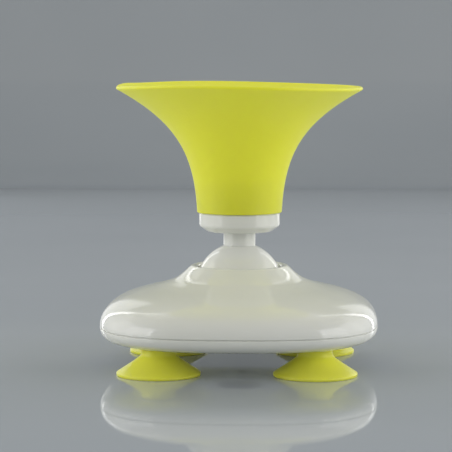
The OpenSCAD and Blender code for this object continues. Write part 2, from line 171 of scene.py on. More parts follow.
def make_piece(name, verts, faces):
    mesh = bpy.data.meshes.new(name)
    bm = bmesh.new()
    points = [bm.verts.new([c * MM for c in v]) for v in verts]
    for face in faces:
        bm.faces.new([points[i] for i in face])
    bmesh.ops.remove_doubles(bm, verts=bm.verts, dist=same_point)
    bmesh.ops.dissolve_degenerate(bm, edges=bm.edges, dist=same_point)
    bare = [edge for edge in bm.edges if not edge.link_faces]
    bmesh.ops.delete(bm, geom=bare, context="EDGES")
    bmesh.ops.recalc_face_normals(bm, faces=bm.faces)
    for face in bm.faces:
        face.smooth = True
    bm.to_mesh(mesh)
    bm.free()
    piece = bpy.data.objects.new(name, mesh)
    bpy.context.scene.collection.objects.link(piece)
    return piece


def skin(rings):
    """Corners and faces of the skin over a closed list of rings with equal counts."""
    count, around = len(rings), len(rings[0])
    verts = np.concatenate(rings)
    faces = []
    for j in range(count):
        k = (j + 1) % count
        for i in range(around):
            n = (i + 1) % around
            faces.append((j * around + i, j * around + n, k * around + n, k * around + i))
    return verts.tolist(), faces


def turned(name, section, sides=144, centre=(0, 0)):
    """A piece turned on a lathe from a closed section, about the upright line through centre."""
    turn = np.linspace(0, 2 * math.pi, sides, endpoint=False)
    rings = []
    for radius, height in section:
        rings.append(np.column_stack([
            centre[0] + radius * np.cos(turn), centre[1] + radius * np.sin(turn), np.full(sides, height)]))
    return make_piece(name, *skin(rings))


# %% [markdown]
# ### Joining, cutting and crisp edges
# Ribs and bosses belong to the moulding they stand on, so they are joined into its mesh. A hole that breaks a
# sweep is cut with a boolean modifier, which can leave slivers with no area; splitting the cut faces into
# triangles and dissolving the empty ones cleans them away. Edges that turn sharply are marked, and a
# weighted-normal modifier keeps the flats looking flat while the rounded corners shade smoothly.

# %% Joining and cutting helpers
def keep_flats(piece):
    soft = piece.modifiers.new("keep flats", "WEIGHTED_NORMAL")
    soft.keep_sharp = True
    soft.weight = 60
    return piece


def join_islands(name, pieces):
    """One mesh object from several, as a moulding with its ribs and bosses is one piece."""
    target = bmesh.new()
    for piece in pieces:
        target.from_mesh(piece.data)
        bpy.data.objects.remove(piece)
    mesh = bpy.data.meshes.new(name)
    target.to_mesh(mesh)
    target.free()
    joined = bpy.data.objects.new(name, mesh)
    bpy.context.scene.collection.objects.link(joined)
    return joined


def cut_away(piece, cutters):
    """Cuts the shapes of the cutters out of the piece, then removes them."""
    bpy.context.view_layer.update()
    for cutter in cutters:
        cut = piece.modifiers.new("cut", "BOOLEAN")
        cut.operation = "DIFFERENCE"
        cut.solver = "EXACT"
        cut.object = cutter
        depsgraph = bpy.context.evaluated_depsgraph_get()
        mesh = bpy.data.meshes.new_from_object(piece.evaluated_get(depsgraph))
        piece.modifiers.clear()
        piece.data = mesh
        bpy.data.objects.remove(cutter)
    drop_slivers(piece)
    return piece


def drop_slivers(piece):
    """Splits the faces that a cut gave extra corners, and dissolves whatever has no area."""
    nothing = 10 * same_point
    bm = bmesh.new()
    bm.from_mesh(piece.data)
    bmesh.ops.remove_doubles(bm, verts=bm.verts, dist=nothing)
    bmesh.ops.triangulate(bm, faces=[face for face in bm.faces if len(face.verts) > 4])
    bmesh.ops.dissolve_degenerate(bm, edges=bm.edges, dist=nothing)
    for face in bm.faces:
        face.smooth = True
    bm.to_mesh(piece.data)
    bm.free()


def sharpen(piece, degrees=35):
    """Marks edges that turn by more than this angle, so that a cut edge stays crisp."""
    bm = bmesh.new()
    bm.from_mesh(piece.data)
    for edge in bm.edges:
        edge.smooth = len(edge.link_faces) == 2 and edge.calc_face_angle(0) < math.radians(degrees)
    bm.to_mesh(piece.data)
    bm.free()
    return piece


# %% [markdown]
# ## Finishes
# Five materials cover the whole stand. Each one starts from the same shader and gets its character from
# procedural noise: large soft clouds vary the colour a little, as real mouldings do, smaller ones vary the
# gloss, and a fine grain goes through a bump node so that highlights break up at the right scale.
# The patterns use object coordinates, so they stay put on the piece from every side.

# %% Finish helpers
def start_finish(name):
    finish = bpy.data.materials.new(name)
    finish.use_nodes = True
    nodes, links = finish.node_tree.nodes, finish.node_tree.links
    nodes.clear()
    output = nodes.new("ShaderNodeOutputMaterial")
    shader = nodes.new("ShaderNodeBsdfPrincipled")
    links.new(shader.outputs["BSDF"], output.inputs["Surface"])
    place = nodes.new("ShaderNodeTexCoord")
    return finish, nodes, links, shader, place


def clouds(nodes, links, place, scale, detail=3.0, rough=0.55):
    noise = nodes.new("ShaderNodeTexNoise")
    noise.inputs["Scale"].default_value = scale
    noise.inputs["Detail"].default_value = detail
    noise.inputs["Roughness"].default_value = rough
    links.new(place.outputs["Object"], noise.inputs["Vector"])
    return noise


def between(nodes, links, source, colour_a, colour_b, start=0.3, end=0.7):
    ramp = nodes.new("ShaderNodeValToRGB")
    ramp.color_ramp.elements[0].position = start
    ramp.color_ramp.elements[0].color = (*colour_a, 1)
    ramp.color_ramp.elements[1].position = end
    ramp.color_ramp.elements[1].color = (*colour_b, 1)
    links.new(source, ramp.inputs["Fac"])
    return ramp.outputs["Color"]


def spread(nodes, links, source, least, most):
    """A number between least and most that follows the source, for gloss that varies."""
    change = nodes.new("ShaderNodeMapRange")
    change.inputs["From Min"].default_value = 0.3
    change.inputs["From Max"].default_value = 0.7
    change.inputs["To Min"].default_value = least
    change.inputs["To Max"].default_value = most
    links.new(source, change.inputs["Value"])
    return change.outputs["Result"]


def grain(nodes, links, shader, sources, strength, depth):
    """Bumps the surface by the sum of some patterns. Depth is in metres."""
    height = sources[0]
    for source in sources[1:]:
        add = nodes.new("ShaderNodeMath")
        add.operation = "ADD"
        links.new(height, add.inputs[0])
        links.new(source, add.inputs[1])
        height = add.outputs[0]
    bump = nodes.new("ShaderNodeBump")
    bump.inputs["Strength"].default_value = strength
    bump.inputs["Distance"].default_value = depth
    links.new(height, bump.inputs["Height"])
    links.new(bump.outputs["Normal"], shader.inputs["Normal"])


# %% [markdown]
# ### Glossy white moulded plastic
# The housing is a polished moulding. Its white is a little warm, it shines sharply, and long highlights waver
# slightly because a large moulded face is never perfectly even. A touch of light under the surface keeps it
# from looking like paint.

# %% Make the white plastic
def white_moulding():
    finish, nodes, links, shader, place = start_finish("white_moulding")
    tint = clouds(nodes, links, place, 14, detail=2)
    colour = between(nodes, links, tint.outputs["Fac"], (0.762, 0.768, 0.712), (0.806, 0.812, 0.768))
    links.new(colour, shader.inputs["Base Color"])
    gloss = clouds(nodes, links, place, 60, detail=4)
    links.new(spread(nodes, links, gloss.outputs["Fac"], 0.10, 0.14), shader.inputs["Roughness"])
    waver = clouds(nodes, links, place, 45, detail=1)
    peel = clouds(nodes, links, place, 700, detail=2)
    grain(nodes, links, shader, [waver.outputs["Fac"], peel.outputs["Fac"]], 0.10, 0.00012)
    shader.inputs["IOR"].default_value = 1.53
    shader.inputs["Subsurface Weight"].default_value = 0.08
    shader.inputs["Subsurface Radius"].default_value = (1.0, 0.95, 0.8)
    shader.inputs["Subsurface Scale"].default_value = 0.0015
    return finish


white_plastic = white_moulding()

# %% [markdown]
# ### Soft lime silicone
# The sleeve is soft silicone with a satin skin: highlights are broad, the colour is deep, and thin places such
# as the rim let some light through. Sheen gives the pale edge that soft rubber shows at a glancing angle.

# %% Make the sleeve's silicone
def lime_silicone():
    finish, nodes, links, shader, place = start_finish("lime_silicone")
    tint = clouds(nodes, links, place, 16, detail=3)
    colour = between(nodes, links, tint.outputs["Fac"], (0.925, 0.910, 0.048), (0.950, 0.940, 0.058))
    links.new(colour, shader.inputs["Base Color"])
    gloss = clouds(nodes, links, place, 90, detail=4)
    links.new(spread(nodes, links, gloss.outputs["Fac"], 0.42, 0.52), shader.inputs["Roughness"])
    skin_grain = clouds(nodes, links, place, 1600, detail=2)
    flow = clouds(nodes, links, place, 120, detail=2)
    grain(nodes, links, shader, [skin_grain.outputs["Fac"], flow.outputs["Fac"]], 0.12, 0.00010)
    shader.inputs["IOR"].default_value = 1.43
    shader.inputs["Subsurface Weight"].default_value = 0.85
    shader.inputs["Subsurface Radius"].default_value = (1.0, 0.95, 0.15)
    shader.inputs["Subsurface Scale"].default_value = 0.006
    shader.inputs["Sheen Weight"].default_value = 0.15
    shader.inputs["Sheen Roughness"].default_value = 0.5
    shader.inputs["Sheen Tint"].default_value = (0.95, 1.0, 0.6, 1)
    return finish


sleeve_rubber = lime_silicone()

# %% [markdown]
# ### Lime suction rubber
# The feet are the same lime but have a shinier, wetter skin, because a suction foot has to be smooth to hold,
# and they glow a little where light passes through the thin bell.

# %% Make the feet's rubber
def lime_foot():
    finish, nodes, links, shader, place = start_finish("lime_foot")
    tint = clouds(nodes, links, place, 30, detail=3)
    colour = between(nodes, links, tint.outputs["Fac"], (0.880, 0.870, 0.075), (0.920, 0.915, 0.090))
    links.new(colour, shader.inputs["Base Color"])
    gloss = clouds(nodes, links, place, 120, detail=4)
    links.new(spread(nodes, links, gloss.outputs["Fac"], 0.32, 0.42), shader.inputs["Roughness"])
    skin_grain = clouds(nodes, links, place, 900, detail=2)
    grain(nodes, links, shader, [skin_grain.outputs["Fac"]], 0.08, 0.00008)
    shader.inputs["IOR"].default_value = 1.46
    shader.inputs["Subsurface Weight"].default_value = 0.7
    shader.inputs["Subsurface Radius"].default_value = (1.0, 0.95, 0.15)
    shader.inputs["Subsurface Scale"].default_value = 0.004
    return finish


foot_rubber = lime_foot()

# %% [markdown]
# ### Liner plastic and steel
# The rings that hold the ball are a waxy, low-friction white plastic, duller than the housing. The bolts,
# plates and the spring are plated steel: fine turning marks run round them and blotches vary their shine.

# %% Make the liner plastic and the steel
def waxy_liner():
    finish, nodes, links, shader, place = start_finish("waxy_liner")
    tint = clouds(nodes, links, place, 40, detail=3)
    colour = between(nodes, links, tint.outputs["Fac"], (0.700, 0.705, 0.650), (0.760, 0.765, 0.715))
    links.new(colour, shader.inputs["Base Color"])
    gloss = clouds(nodes, links, place, 150, detail=4)
    links.new(spread(nodes, links, gloss.outputs["Fac"], 0.32, 0.44), shader.inputs["Roughness"])
    fine = clouds(nodes, links, place, 1200, detail=3)
    grain(nodes, links, shader, [fine.outputs["Fac"]], 0.10, 0.00006)
    shader.inputs["Subsurface Weight"].default_value = 0.12
    shader.inputs["Subsurface Scale"].default_value = 0.002
    return finish


def plated_steel():
    finish, nodes, links, shader, place = start_finish("plated_steel")
    blotch = clouds(nodes, links, place, 160, detail=4)
    colour = between(nodes, links, blotch.outputs["Fac"], (0.50, 0.51, 0.53), (0.64, 0.65, 0.66))
    links.new(colour, shader.inputs["Base Color"])
    marks = nodes.new("ShaderNodeTexWave")
    marks.wave_type = "RINGS"
    marks.rings_direction = "Z"
    marks.inputs["Scale"].default_value = 900
    marks.inputs["Distortion"].default_value = 1.5
    marks.inputs["Detail"].default_value = 2
    links.new(place.outputs["Object"], marks.inputs["Vector"])
    links.new(spread(nodes, links, blotch.outputs["Fac"], 0.26, 0.42), shader.inputs["Roughness"])
    grain(nodes, links, shader, [marks.outputs["Fac"]], 0.06, 0.00004)
    shader.inputs["Metallic"].default_value = 1.0
    return finish


liner_plastic = waxy_liner()
steel = plated_steel()
print("finishes:", [m.name for m in bpy.data.materials])

# %% [markdown]
# ## Handing a piece to the frame
# A new piece has to move with the mechanical part that it dresses. So each one gets its finish, rides on a body
# of the frame, and takes the place of its node.

# %% Helper that hands a finished piece to the frame
def fit(piece, finish, slot, body, *nodes):
    """Gives a piece its finish, lets it ride on a body, and shows it instead of these nodes."""
    piece.data.materials.clear()
    piece.data.materials.append(finish)
    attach(piece, body)
    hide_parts(*nodes)
    size = [round((b - a) / MM, 1) for a, b in zip(*piece_box(piece))]
    print(f"{piece.name}: {len(piece.data.polygons)} faces, {size} mm, rides on {body}")
    return piece


def piece_box(piece):
    corners = [v.co for v in piece.data.vertices]
    return Vector(map(min, zip(*corners))), Vector(map(max, zip(*corners)))


# %% [markdown]
# ## The housing's outline
# Seen from above, the housing is a rounded square at its rim and becomes a true circle towards the collar.
# One formula gives both: each ring is a circle whose points are pushed outwards by a power, where 2 is a
# circle and more is squarer, and the power eases from one to the other with the distance from the axis.

# %% Outline helper
outline_power = 2.8
shell_wall = 2.5
collar_r = 41.3
round_r = collar_r - shell_wall


def outline_ring(radius, height, sides):
    share = min(max((radius - round_r) / (housing_half - round_r), 0), 1)
    power = 2 + (outline_power - 2) * share * share * (3 - 2 * share)
    turn = np.linspace(0, 2 * math.pi, sides, endpoint=False)
    reach = radius * (np.abs(np.cos(turn)) ** power + np.abs(np.sin(turn)) ** power) ** (-1 / power)
    return np.column_stack([reach * np.cos(turn), reach * np.sin(turn), np.full(sides, height)])


def housing_piece(name, section, sides=256):
    return make_piece(name, *skin([outline_ring(r, z, sides) for r, z in section]))


def four_spots(place_r, first_degrees=0):
    """Four places round the axis, a quarter turn apart."""
    turns = [math.radians(first_degrees + 90 * quarter) for quarter in range(4)]
    return [(place_r * math.cos(a), place_r * math.sin(a)) for a in turns]


# %% [markdown]
# ## The upper shell
# The crown of the housing rises from the seam in one sweep, runs almost flat to the collar, then climbs in a
# hollow curve to a lip that rolls over into the ball's throat. The two sweeps only share a direction where
# they meet, so the points around the joint are eased until the bend turns gradually, as a moulder would
# blend it. The same section goes on inside, down the seat that the ball's rings turn in, and back under the
# wall, so the shell is one closed solid with real thickness.

# %% Draw the upper shell's section
collar_z = ball_z + 1.4
throat_r = ball_r - 0.6
lip_r = throat_r + 2.6
ball_gap = 0.3
seat_r = ball_r + ball_gap + 3.7
seat_roof_z = lip_z - 4.2
plate_top_z = 21.0
crown_pull, shoulder_run, shoulder_slope = 13.3, 16, 0.28
crown = sweep((housing_half, seam_z), (housing_half, seam_z + crown_pull),
              (collar_r + shoulder_run, collar_z - shoulder_slope * shoulder_run),
              (collar_r, collar_z), 56)
rise = collar_r - lip_r
hollow, roll_in = 0.62 * rise, 0.12 * rise
collar = sweep((collar_r, collar_z), (collar_r - hollow, collar_z + shoulder_slope * hollow),
               (lip_r + roll_in, lip_z), (lip_r, lip_z), 30)
lip_roll = sweep((lip_r, lip_z), (lip_r - 1.5, lip_z), (throat_r, lip_z - 0.2), (throat_r, lip_z - 1.9), 12)
outside = eased(np.vstack([crown, collar[1:]]), (collar_r, collar_z), 5.0, 60)
crown_under = beside(crown, -shell_wall)
print("upper shell's outside:", len(outside), "points, top at", round(outside[:, 1].max(), 2), "mm")

# %% Build the upper shell
def open_curve(curve, skip_start=0.0, skip_end=0.0):
    """The curve's points, leaving out those nearer to its ends than a corner needs."""
    from_start = np.linalg.norm(curve - curve[0], axis=1)
    from_end = np.linalg.norm(curve - curve[-1], axis=1)
    return [tuple(p) for p, s, e in zip(curve, from_start, from_end) if s > skip_start and e > skip_end]


under = open_curve(crown_under[::-1][:-1], 1.0, 0.6)
seat_wall = 2.6
upper_section = rounded(
    [(housing_half - shell_wall, seam_z, 0.2), (housing_half, seam_z, 0.35)]
    + open_curve(outside, 1.0, 0.2)
    + [tuple(p) for p in lip_roll]
    + [(throat_r, seat_roof_z, 0.15), (seat_r, seat_roof_z, 0), (seat_r, plate_top_z, 0.3),
       (seat_r + seat_wall, plate_top_z, 0.3), (seat_r + seat_wall, lip_z - 8.0, 1.2),
       (collar_r - 6, collar_z - 1.6, 1.0)]
    + under, steps=6)
upper_parts = [housing_piece("upper_main", upper_section)]
print("upper shell's section:", len(upper_section), "points")

# %% [markdown]
# ### Lugs and bosses
# Under the roof stand four lugs, which take the screws of the spring plate, and four bosses, which take the
# screws that hold the shells together. Each is a short turned post with a blind hole that reaches up into the
# moulding's wall, so that it holds on over its whole end.

# %% Add the lugs and bosses
hole_in_post_r = 1.55
lug_r, lug_top_z, lug_hole_z = 3.6, 39.0, 31.0
boss_r, boss_low_z, boss_top_z, boss_hole_z = 4.35, 27.4, 41.2, 38.4
lug_place_r = seat_r + seat_wall / 2 + lug_r
screw_place_r = 47.0
lug_section = rounded([
    (hole_in_post_r, plate_top_z, 0.2), (lug_r, plate_top_z, 0.3), (lug_r, lug_top_z, 0.5),
    (0, lug_top_z), (0, lug_hole_z), (hole_in_post_r, lug_hole_z)])
boss_section = rounded([
    (hole_in_post_r, boss_low_z, 0.2), (boss_r, boss_low_z, 0.3), (boss_r, boss_top_z, 0.3),
    (0, boss_top_z), (0, boss_hole_z), (hole_in_post_r, boss_hole_z)])
for spot in four_spots(lug_place_r, 45):
    upper_parts.append(turned("lug", lug_section, 40, spot))
for spot in four_spots(screw_place_r):
    upper_parts.append(turned("boss", boss_section, 40, spot))
upper_shell = keep_flats(join_islands("upper_shell", upper_parts))
fit(upper_shell, white_plastic, "white_plastic", "housing", "top_shell")

# %% [markdown]
# ## The lower shell
# The belly mirrors the crown with a flatter sweep, so the stand looks as if it floats above its feet. A shallow
# groove runs round the seam, where the two mouldings meet: a real one hides the joint's unevenness in its
# shadow. Four screw recesses are cut afterwards with a boolean modifier, because they break the sweep of the
# section. Each cutter has a small cone at its mouth, which leaves a neat chamfer.

# %% Draw the lower shell's section
pad_low_z = low("bottom_shell")[2]
underside_z = pad_low_z + 0.3
underside_r = housing_half - 22
floor_z = underside_z + shell_wall
hole_r = 12.4
belly_pull, belly_run = 7.2, 13.7
belly = sweep((housing_half, seam_low_z), (housing_half, seam_low_z - belly_pull),
              (underside_r + belly_run, underside_z), (underside_r, underside_z), 44)
belly_inside = beside(belly, shell_wall)
groove_deep = 0.8
tongue_r = housing_half - shell_wall - 0.5
tongue_wall, tongue_tall = 1.3, 2
inside_points = [tuple(p) for p in belly_inside if p[0] < tongue_r - 1.6]
lower_section = rounded(
    [(hole_r, underside_z, 0.5)]
    + open_curve(belly[::-1], 0.0, 1.0)
    + [(housing_half, seam_low_z, 0.35), (housing_half - groove_deep, seam_low_z, 0.1),
       (housing_half - groove_deep, seam_z, 0), (tongue_r, seam_z, 0),
       (tongue_r, seam_z + tongue_tall, 0.3), (tongue_r - tongue_wall, seam_z + tongue_tall, 0.3),
       (tongue_r - tongue_wall, inside_points[0][1] + 0.6, 0.5)]
    + inside_points + [(hole_r, floor_z, 0.4)], steps=5)
print("lower shell's section:", len(lower_section), "points from", round(underside_z, 2), "mm up")

# %% Build the lower shell and cut its screw recesses
lower_main = housing_piece("lower_main", lower_section)
recess_r, recess_top_z, mouth_flare = 3.0, 17.9, 0.9
recess_section = rounded([
    (0, underside_z - 3), (recess_r + mouth_flare, underside_z - 3),
    (recess_r + mouth_flare, underside_z - 0.35), (recess_r, underside_z - 0.35 + mouth_flare),
    (recess_r, recess_top_z), (0, recess_top_z)])
cut_away(lower_main, [turned("recess", recess_section, 48, spot) for spot in four_spots(screw_place_r)])
print("lower shell after the cuts:", len(lower_main.data.polygons), "faces")

# %% [markdown]
# ### Screw posts and foot pads
# A hollow post stands over each screw recess and meets the boss of the upper shell. A round pad thickens the
# underside at each foot, because the foot's stud is clamped there.

# %% Add the screw posts and foot pads
post_hole_r, post_top_z = 1.7, 27.35
post_section = rounded([
    (post_hole_r, recess_top_z, 0.1), (recess_r, recess_top_z), (recess_r, floor_z - 0.6),
    (boss_r, floor_z - 0.6), (boss_r, post_top_z, 0.3), (post_hole_r, post_top_z, 0.2)])
stud_hole_r, pad_r = 2.55, 10.3
pad_section = rounded([
    (stud_hole_r, pad_low_z, 0.1), (pad_r, pad_low_z, 0.25), (pad_r, floor_z + 1, 0.3),
    (stud_hole_r, floor_z + 1, 0.1)])
foot_place = (high("suction_foot_front_right")[0] + low("suction_foot_front_right")[0]) / 2
lower_parts = [lower_main]
for spot in four_spots(screw_place_r):
    lower_parts.append(turned("post", post_section, 40, spot))
for x in (-foot_place, foot_place):
    for y in (-foot_place, foot_place):
        lower_parts.append(turned("pad", pad_section, 64, (x, y)))
lower_shell = keep_flats(sharpen(join_islands("lower_shell", lower_parts)))
fit(lower_shell, white_plastic, "white_plastic", "housing", "bottom_shell")

# %% [markdown]
# ## The suction feet
# A suction foot is a soft bell on a short neck. Its flank is a nearly straight cone that turns into the neck
# with a tight hollow, its rim is a thin rounded band, and underneath a narrow sealing land runs round a dome.
# All four are the same turned section, with a fine ridge on the land that presses into the table first.

# %% Build the four feet
foot_r = (high("suction_foot_front_right")[0] - low("suction_foot_front_right")[0]) / 2
foot_top_z = high("suction_foot_front_right")[2]
rim_z, neck_z, neck_r = 1.5, 10.5, 9.3
run, climb = foot_r - neck_r, neck_z - rim_z
flank = sweep((foot_r, rim_z), (foot_r - 0.36 * run, rim_z + 0.34 * climb),
              (neck_r + 0.24 * run, rim_z + 0.72 * climb), (neck_r, neck_z), 24)
neck = sweep((neck_r, neck_z), (neck_r, 11.2), (neck_r, 12), (neck_r, 13), 6)
flank = eased(np.vstack([flank, neck[1:]]), (neck_r, neck_z), 2.2, 14)
dome_r, dome_z = 20.5, 5.6
dome = [(dome_r * math.cos(t), dome_z * math.sin(t)) for t in np.linspace(0.04, math.pi / 2 - 0.03, 18)]
stud_pocket = [(stud_hole_r, 9.1), (6.35, 9.1), (6.35, 7.55), (0, 7.55)]
land_ridge = [(21.0, 0.0), (21.15, 0.12), (21.4, 0.12), (21.55, 0.0)]
foot_section = rounded(
    [(foot_r, 0.0, 0.55), (foot_r, rim_z - 0.05, 0.5)] + open_curve(flank, 0.9, 0.0)
    + [(neck_r, foot_top_z, 0.2), (stud_hole_r, foot_top_z, 0.1)] + stud_pocket
    + [(0, dome_z)] + dome[::-1] + [(dome_r, 0.0, 0.2)] + land_ridge, steps=5)
for side, x in (("left", -foot_place), ("right", foot_place)):
    for end, y in (("front", -foot_place), ("back", foot_place)):
        foot = keep_flats(turned(f"foot_{end}_{side}", foot_section, 128, (x, y)))
        fit(foot, foot_rubber, "foot_rubber", "housing", f"suction_foot_{end}_{side}")

# %% [markdown]
# ## The ball
# The ball is turned with its bore and the socket for the stem, and its flat foot gets a six-sided pocket for
# the nut. The lip of the housing's collar comes so close to the ball that only a thin dark line shows between
# them.

# %% Build the ball
foot_turn = math.radians(160)
flat_z = ball_z + ball_r * math.cos(foot_turn)
bore_in_ball_r, spigot_r, spigot_gap = 3.2, 6.5, 0.05
socket_for_stem_r = spigot_r + spigot_gap
spigot_z = ball_z + ball_r - 6
ball_arc = []
for t in np.linspace(math.asin(socket_for_stem_r / ball_r), foot_turn, 90):
    ball_arc.append((ball_r * math.sin(t), ball_z + ball_r * math.cos(t)))
ball_section = rounded(
    [(bore_in_ball_r, flat_z, 0.1), (bore_in_ball_r, spigot_z), (socket_for_stem_r, spigot_z)]
    + ball_arc[:-1] + [(*ball_arc[-1], 0.3)])
ball = turned("ball_moulding", ball_section, 160)
nut_corner_r, nut_pocket_deep = 5.8312, 6
pocket = turned("pocket", [(0, flat_z - 2), (nut_corner_r, flat_z - 2),
                           (nut_corner_r, flat_z + nut_pocket_deep), (0, flat_z + nut_pocket_deep)], 6)
cut_away(ball, [pocket])
fit(keep_flats(sharpen(ball)), white_plastic, "white_plastic", "ball_stem", "ball")

# %% [markdown]
# ## The rings that hold the ball
# The liner sits above the ball's widest part and hides under the collar's lip, and the pressure ring pushes
# up from below. Both are turned rings whose inner side is an arc that follows the ball at a small, even gap.

# %% Build the liner and the pressure ring
def cup_arc(reach, z_from, z_to, steps=16):
    return [(math.sqrt(reach ** 2 - (z - ball_z) ** 2), z) for z in np.linspace(z_from, z_to, steps)]


ring_r = seat_r - 0.08
liner_top_z, liner_low_z = seat_roof_z - 0.1, seat_roof_z - 7
liner_section = rounded(
    [(ring_r, liner_low_z, 0.4), (ring_r, liner_top_z, 0.4)]
    + cup_arc(ball_r + ball_gap, liner_top_z, liner_low_z))
liner = keep_flats(turned("liner_ring", liner_section, 160))
fit(liner, liner_plastic, "liner_plastic", "socket", "socket_liner")
press_top, press_low = high("pressure_ring")[2], low("pressure_ring")[2]
press_section = rounded(
    [(ring_r, press_low, 0.4), (ring_r, press_top, 0.4)] + cup_arc(ball_r + ball_gap, press_top, press_low))
press = keep_flats(turned("press_ring", press_section, 144))
fit(press, liner_plastic, "liner_plastic", "socket", "pressure_ring")

# %% [markdown]
# ## The stem
# The stem stands on the ball, so the underside of its shoulder is an arc of the ball's own curve and fits it
# exactly. A spigot at each end centres it, in the ball below and in the head cup above.

# %% Build the stem
def on_ball(radius, reach):
    return ball_z + math.sqrt(reach ** 2 - radius ** 2)


stem_low_z, stem_top_z, shoulder_z = spigot_z + spigot_gap, high("stem")[2], head_z - 0.1
stem_arc = [(r, on_ball(r, ball_r + spigot_gap)) for r in np.linspace(spigot_r, stem_r, 6)]
stem_section = rounded(
    [(bore_in_ball_r, stem_low_z, 0.1), (spigot_r, stem_low_z, 0.4)] + stem_arc
    + [(stem_r, shoulder_z, 0.25), (spigot_r, shoulder_z),
       (spigot_r, stem_top_z, 0.2), (bore_in_ball_r, stem_top_z, 0.1)])
stem = keep_flats(turned("stem_moulding", stem_section, 128))
fit(stem, white_plastic, "white_plastic", "ball_stem", "stem")

# %% [markdown]
# ## The head cup
# The cup is a turned white moulding with a bevel under its rim. The bevel's two edges are softened with a
# radius of about two millimetres, which catches a line of light. Above the rim the cup steps in to a long
# seat, and the sleeve is pulled over that; a half-millimetre gap under the sleeve's foot draws a fine shadow.

# %% Build the head cup
cup_hole_r, seat_step, bore_r = spigot_r + 0.08, 0.8, cup_r - 2.7
bevel_wide, bevel_tall = 4.4, 3.2
shadow_gap = 0.5
cup_floor_z = head_z + 4
cup_section = rounded([
    (cup_hole_r, head_z, 0.3), (cup_r - bevel_wide, head_z, 2.0), (cup_r, head_z + bevel_tall, 1.8),
    (cup_r, sleeve_z - shadow_gap, 0.3), (cup_r - seat_step, sleeve_z - shadow_gap - 0.1, 0),
    (cup_r - seat_step, cup_top_z, 0.3), (bore_r, cup_top_z, 0.3),
    (bore_r, cup_floor_z, 0.5), (cup_hole_r, cup_floor_z, 0.2)], steps=6)
cup = keep_flats(turned("head_cup_moulding", cup_section, 160))
fit(cup, white_plastic, "white_plastic", "head", "head_cup")

# %% [markdown]
# ## The clamp ring and the floor pad
# The clamp ring drops into the cup and presses the sleeve's inner shoulder onto the cup's rim. The pad covers
# the bolt's head and has five shallow grooves, so that what stands on it doesn't slide.

# %% Build the clamp ring and the floor pad
press_fit = 0.05
shoulder_top_z = cup_top_z + 1.6
clamp_low, clamp_top = low("clamp_ring")[2], high("clamp_ring")[2]
clamp_r, flange_r = bore_r - 1.5, bore_r + 2.6
clamp_section = rounded([
    (clamp_r, clamp_low, 0.3), (bore_r - press_fit, clamp_low, 0.3),
    (bore_r - press_fit, shoulder_top_z, 0.1), (flange_r, shoulder_top_z, 0.3),
    (flange_r, clamp_top, 0.6), (clamp_r, clamp_top, 0.6)])
clamp = keep_flats(turned("clamp_ring_moulding", clamp_section, 144))
fit(clamp, white_plastic, "white_plastic", "head", "clamp_ring")
pad_top, pad_skin, bolt_room_r, pad_groove = high("floor_pad")[2], 1.6, 10.5, 0.4
grooves = []
for r in (15.5, 12.5, 9.5, 6.5, 3.5):
    grooves += [(r + 0.5, pad_top), (r + 0.2, pad_top - pad_groove),
                (r - 0.2, pad_top - pad_groove), (r - 0.5, pad_top)]
pad_section = rounded(
    [(bolt_room_r, cup_floor_z, 0.2), (bore_r - press_fit, cup_floor_z, 0.2), (bore_r - press_fit, pad_top, 0.3)]
    + grooves + [(0, pad_top), (0, pad_top - pad_skin), (bolt_room_r, pad_top - pad_skin, 0.3)])
pad = keep_flats(turned("floor_pad_moulding", pad_section, 128))
fit(pad, sleeve_rubber, "sleeve_rubber", "head", "floor_pad")

# %% [markdown]
# ## The gripping sleeve
# The sleeve is the piece that everyone looks at: a soft horn that leaves its foot almost upright and flares
# to a wide mouth with a thin bead round it. The outside is one sweep and the inside runs beside it at the
# wall's thickness, down to a shoulder that folds in over the cup's rim and is held there by the clamp ring.

# %% Draw the sleeve's section
sleeve_foot_r = cup_r - seat_step + 1.9
mouth_r, mouth_z = 66.9, sleeve_z + 67.9
sleeve_wall, bead_r = 1.8, 1.0
neck_pull, flare_run, flare_slope = 32.2, 32.3, 0.57
flare = sweep((sleeve_foot_r, sleeve_z), (sleeve_foot_r + 1.5, sleeve_z + neck_pull),
              (mouth_r - flare_run, mouth_z - flare_slope * flare_run), (mouth_r, mouth_z), 96)
flare_inside = beside(flare, -sleeve_wall)
flare_end = (flare[-1] - flare[-2]) / np.linalg.norm(flare[-1] - flare[-2])
outward = np.array([flare_end[1], -flare_end[0]])
bead_middle = flare[-1] - outward * bead_r
bead = []
for t in np.linspace(0.05, math.radians(210), 16):
    bead.append(tuple(bead_middle + bead_r * (math.cos(t) * outward + math.sin(t) * flare_end)))
inside_down = [tuple(p) for p in flare_inside[::-1] if p[1] > clamp_top + 1.2 and p[0] < mouth_r - 1.2]
flange_gap_r, sleeve_seat_r, shoulder_low_z = flange_r + 0.05, cup_r - 0.75, cup_top_z + 0.02
sleeve_section = rounded(
    [(sleeve_seat_r, sleeve_z, 0.2), (sleeve_foot_r, sleeve_z, 0.7)] + open_curve(flare, 1.0, 0.1) + bead
    + inside_down + [(flange_gap_r, clamp_top, 0.3), (flange_gap_r, shoulder_top_z, 0),
                     (bore_r + 0.05, shoulder_top_z, 0), (bore_r + 0.05, shoulder_low_z, 0),
                     (sleeve_seat_r, shoulder_low_z, 0)], steps=6)
widest = round(sleeve_section[:, 0].max(), 2)
print("sleeve's section:", len(sleeve_section), "points, mouth radius", widest, "mm")

# %% [markdown]
# ### Letting the mouth sag
# Soft silicone never hangs true, so the turned mouth is bent. It leans a little, droops to the left and right
# and lifts at the front and back, waves slightly, and has one small bump where it was pulled from its mould.
# Each wave has a number of turns round the mouth, and all of it fades to nothing down in the neck.

